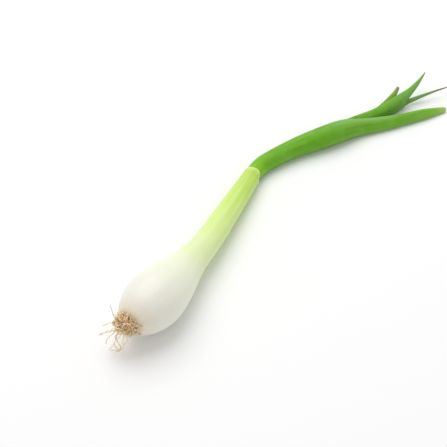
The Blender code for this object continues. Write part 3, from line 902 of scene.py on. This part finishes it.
def leaf_skin(name, stops, tip_colour, tip_from, painted_highlight_share=0.0):
    """Green leaf skin: a ramp of greens up the leaf, long veins, waxy bloom, a painted highlight as a paler
    stripe along its upper left side, towards the lamp, and a tip that is dying back."""
    material, shader, links = new_finish(name)
    along = growth_part(material, "Y")
    colour = colours_along(material, along, stops)
    veins = vein_noise(material, 13.0, 4.0, detail=2.0)
    bands = vein_noise(material, 2.4, 3.5, detail=3.0, seed=3.0)
    blotches = body_noise(material, 140.0, 4.0)
    colour = tint(material, colour, LEAF_VEIN, spread(material, veins, 0.52, 0.72, 0.0, 0.42))
    colour = tint(material, colour, LEAF_BAND, spread(material, bands, 0.50, 0.72, 0.0, 0.45))
    waxy = times(material, spread(material, blotches, 0.35, 0.75),
                 spread(material, veins, 0.30, 0.60, 0.4, 1.0))
    colour = tint(material, colour, LEAF_BLOOM, spread(material, waxy, 0.0, 1.0, 0.0, BLOOM_SHARE))
    # Painted highlight: the upper left side, towards the lamp, is made paler in a stripe from about four to
    # eight tenths of the way up
    lamp_side_share = times(material, spread(material, growth_part(material, "Z"), 0.30, 0.80),
                       spread(material, growth_part(material, "X"), 0.60, -0.20))
    highlight_stripe = times(material, spread(material, along, 0.42, 0.52, 0.0, painted_highlight_share),
                   spread(material, along, 0.86, 0.70))
    colour = tint(material, colour, PAINTED_HIGHLIGHT_GREEN, times(material, lamp_side_share, highlight_stripe))
    tip_edge = times(material, spread(material, along, tip_from, 1.0),
                     spread(material, bands, 0.30, 0.60, 0.6, 1.0))
    colour = tint(material, colour, tip_colour, tip_edge)
    links.new(colour, shader.inputs["Base Color"])
    links.new(spread(material, blotches, 0.3, 0.7, 0.36, 0.50), shader.inputs["Roughness"])
    links.new(raise_grain(material, veins, 0.00025, 0.45), shader.inputs["Normal"])
    shader.inputs["Specular IOR Level"].default_value = 0.16
    shader.inputs["Subsurface Weight"].default_value = 0.10
    shader.inputs["Subsurface Radius"].default_value = (0.6, 1.0, 0.25)
    shader.inputs["Subsurface Scale"].default_value = 0.0012
    return material


# Only the outer leaf carries the painted highlight stripe; the younger leaves have none.
outer_leaf.data.materials.append(leaf_skin("outer_leaf_green", (
    (0.00, (0.46, 0.72, 0.07)),
    (0.06, (0.24, 0.56, 0.015)),
    (0.16, (0.145, 0.42, 0.006)),
    (0.40, (0.125, 0.385, 0.006)),
    (0.60, (0.145, 0.40, 0.016)),
    (0.80, (0.150, 0.42, 0.014)),
    (1.00, (0.27, 0.54, 0.060))), (0.42, 0.60, 0.18), 0.955, painted_highlight_share=0.75))
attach(outer_leaf, "root")
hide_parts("outer_leaf")

# ---- Inner, short and drying leaves ----
# Three younger leaves come out of the outer leaf's mouth: a broad one that tapers to a fine browned point,
# a short one whose tip is worn off, and a thin one that has begun to dry. All are hollow and end closed.
# For each leaf, start and offset place its foot along and beside the stalk, turn is its first heading from
# the stalk's, flat and tilt say how flat its section is and which way, and girth and rise run along it.
MOUTH_LEAVES = {
    "inner_leaf": {
        "start": 0.062, "offset": 0.0020, "turn": -6.5, "flat": 0.72, "tilt": 118.0, "ribs": 18,
        "arcs": ((0.029, 7.5), (0.031, -15.5), (0.030, -18.5)),
        "girth": ((0.0, 0.0070), (0.020, 0.0092), (0.040, 0.0086), (0.052, 0.0090), (0.062, 0.0079),
                  (0.070, 0.0054), (0.080, 0.0032), (0.090, 0.0008)),
        "rise": ((0.0, 0.0066), (0.030, 0.0060), (0.060, 0.0078), (0.090, 0.0122)),
        # The inner leaf's greens start dark at its foot: painted shade where it comes out of the outer
        # leaf's mouth.
        "greens": ((0.00, (0.05, 0.18, 0.004)), (0.22, (0.11, 0.34, 0.010)), (0.50, (0.145, 0.40, 0.025)),
                   (0.75, (0.17, 0.42, 0.055)), (1.00, (0.24, 0.44, 0.12))),
        "tip": (0.24, 0.15, 0.08), "tip_from": 0.93,
    },
    "short_leaf": {
        "start": 0.070, "offset": 0.0036, "turn": -7.0, "flat": 0.80, "tilt": 110.0, "ribs": 12,
        "arcs": ((0.024, -0.5), (0.037, -31.0)),
        "girth": ((0.0, 0.0026), (0.020, 0.0054), (0.046, 0.0056), (0.061, 0.0026)),
        "rise": ((0.0, 0.0026), (0.020, 0.0026), (0.046, 0.0042), (0.061, 0.0060)),
        "greens": ((0.00, (0.09, 0.28, 0.010)), (0.60, (0.14, 0.35, 0.02)), (1.00, (0.25, 0.40, 0.06))),
        "tip": (0.31, 0.27, 0.10), "tip_from": 0.88,
    },
    "drying_leaf": {
        "start": 0.070, "offset": -0.0002, "turn": -11.4, "flat": 0.70, "tilt": 120.0, "ribs": 8,
        "arcs": ((0.030, 0.5), (0.030, 11.5), (0.028, 9.5)),
        "girth": ((0.0, 0.0018), (0.022, 0.0034), (0.040, 0.0070), (0.0475, 0.0079), (0.053, 0.0058),
                  (0.058, 0.0036), (0.065, 0.0028), (0.080, 0.0014), (0.088, 0.0007)),
        "rise": ((0.0, 0.0012), (0.022, 0.0014), (0.044, 0.0030), (0.058, 0.0036), (0.088, 0.0076)),
        "greens": ((0.00, (0.13, 0.36, 0.03)), (0.55, (0.21, 0.42, 0.12)), (0.85, (0.21, 0.37, 0.13)),
                   (1.00, (0.22, 0.26, 0.13))),
        "tip": (0.20, 0.12, 0.09), "tip_from": 0.86,
    },
}
MOUTH_LEAF_SIDES = 48
MOUTH_RING_SPACING = 0.0012
MOUTH_RIB_DEPTH = 0.00008
CLOSED_TIP = ((0.4, 0.86), (0.75, 0.55), (0.97, 0.15))       # how it rounds off: (out, width)

for node, shape in MOUTH_LEAVES.items():
    (x, y), heading = stalk_plan(shape["start"])
    angle = math.radians(heading)
    foot = (x - shape["offset"] * math.cos(angle), y + shape["offset"] * math.sin(angle))
    length = sum(arc for arc, _ in shape["arcs"])
    rings = [(d, smooth_value(shape["girth"], d) / 2) for d in evenly(0.0, length, MOUTH_RING_SPACING)]
    tip_radius = rings[-1][1]
    rings += [(length + tip_radius * out, tip_radius * width) for out, width in CLOSED_TIP]
    leaf = grow_straight(node + "_blade", MOUTH_LEAF_SIDES, rings)
    close_end(leaf, 0.0)
    close_end(leaf, rings[-1][0])
    note_growth(leaf, length)
    tilt = math.radians(shape["tilt"])
    wide_axis = Vector((math.cos(tilt), math.sin(tilt)))
    flat_axis = Vector((-wide_axis.y, wide_axis.x))
    for vertex in leaf.data.vertices:
        around = Vector((vertex.co.x, vertex.co.z))
        section = wide_axis * around.dot(wide_axis) + flat_axis * around.dot(flat_axis) * shape["flat"]
        vertex.co.x, vertex.co.z = section
    rib_leaf(leaf, MOUTH_RIB_DEPTH, shape["ribs"])
    centres = []
    for d in evenly(0.0, length, COURSE_STEP):
        point, _ = plan_point(foot, heading + shape["turn"], shape["arcs"], d)
        centres.append(Vector((*point, smooth_value(shape["rise"], d))))
    bend_along(leaf, centres)
    finish_skin(leaf)
    leaf.data.materials.append(leaf_skin(node + "_green", shape["greens"], shape["tip"], shape["tip_from"]))
    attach(leaf, "root")
    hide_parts(node)
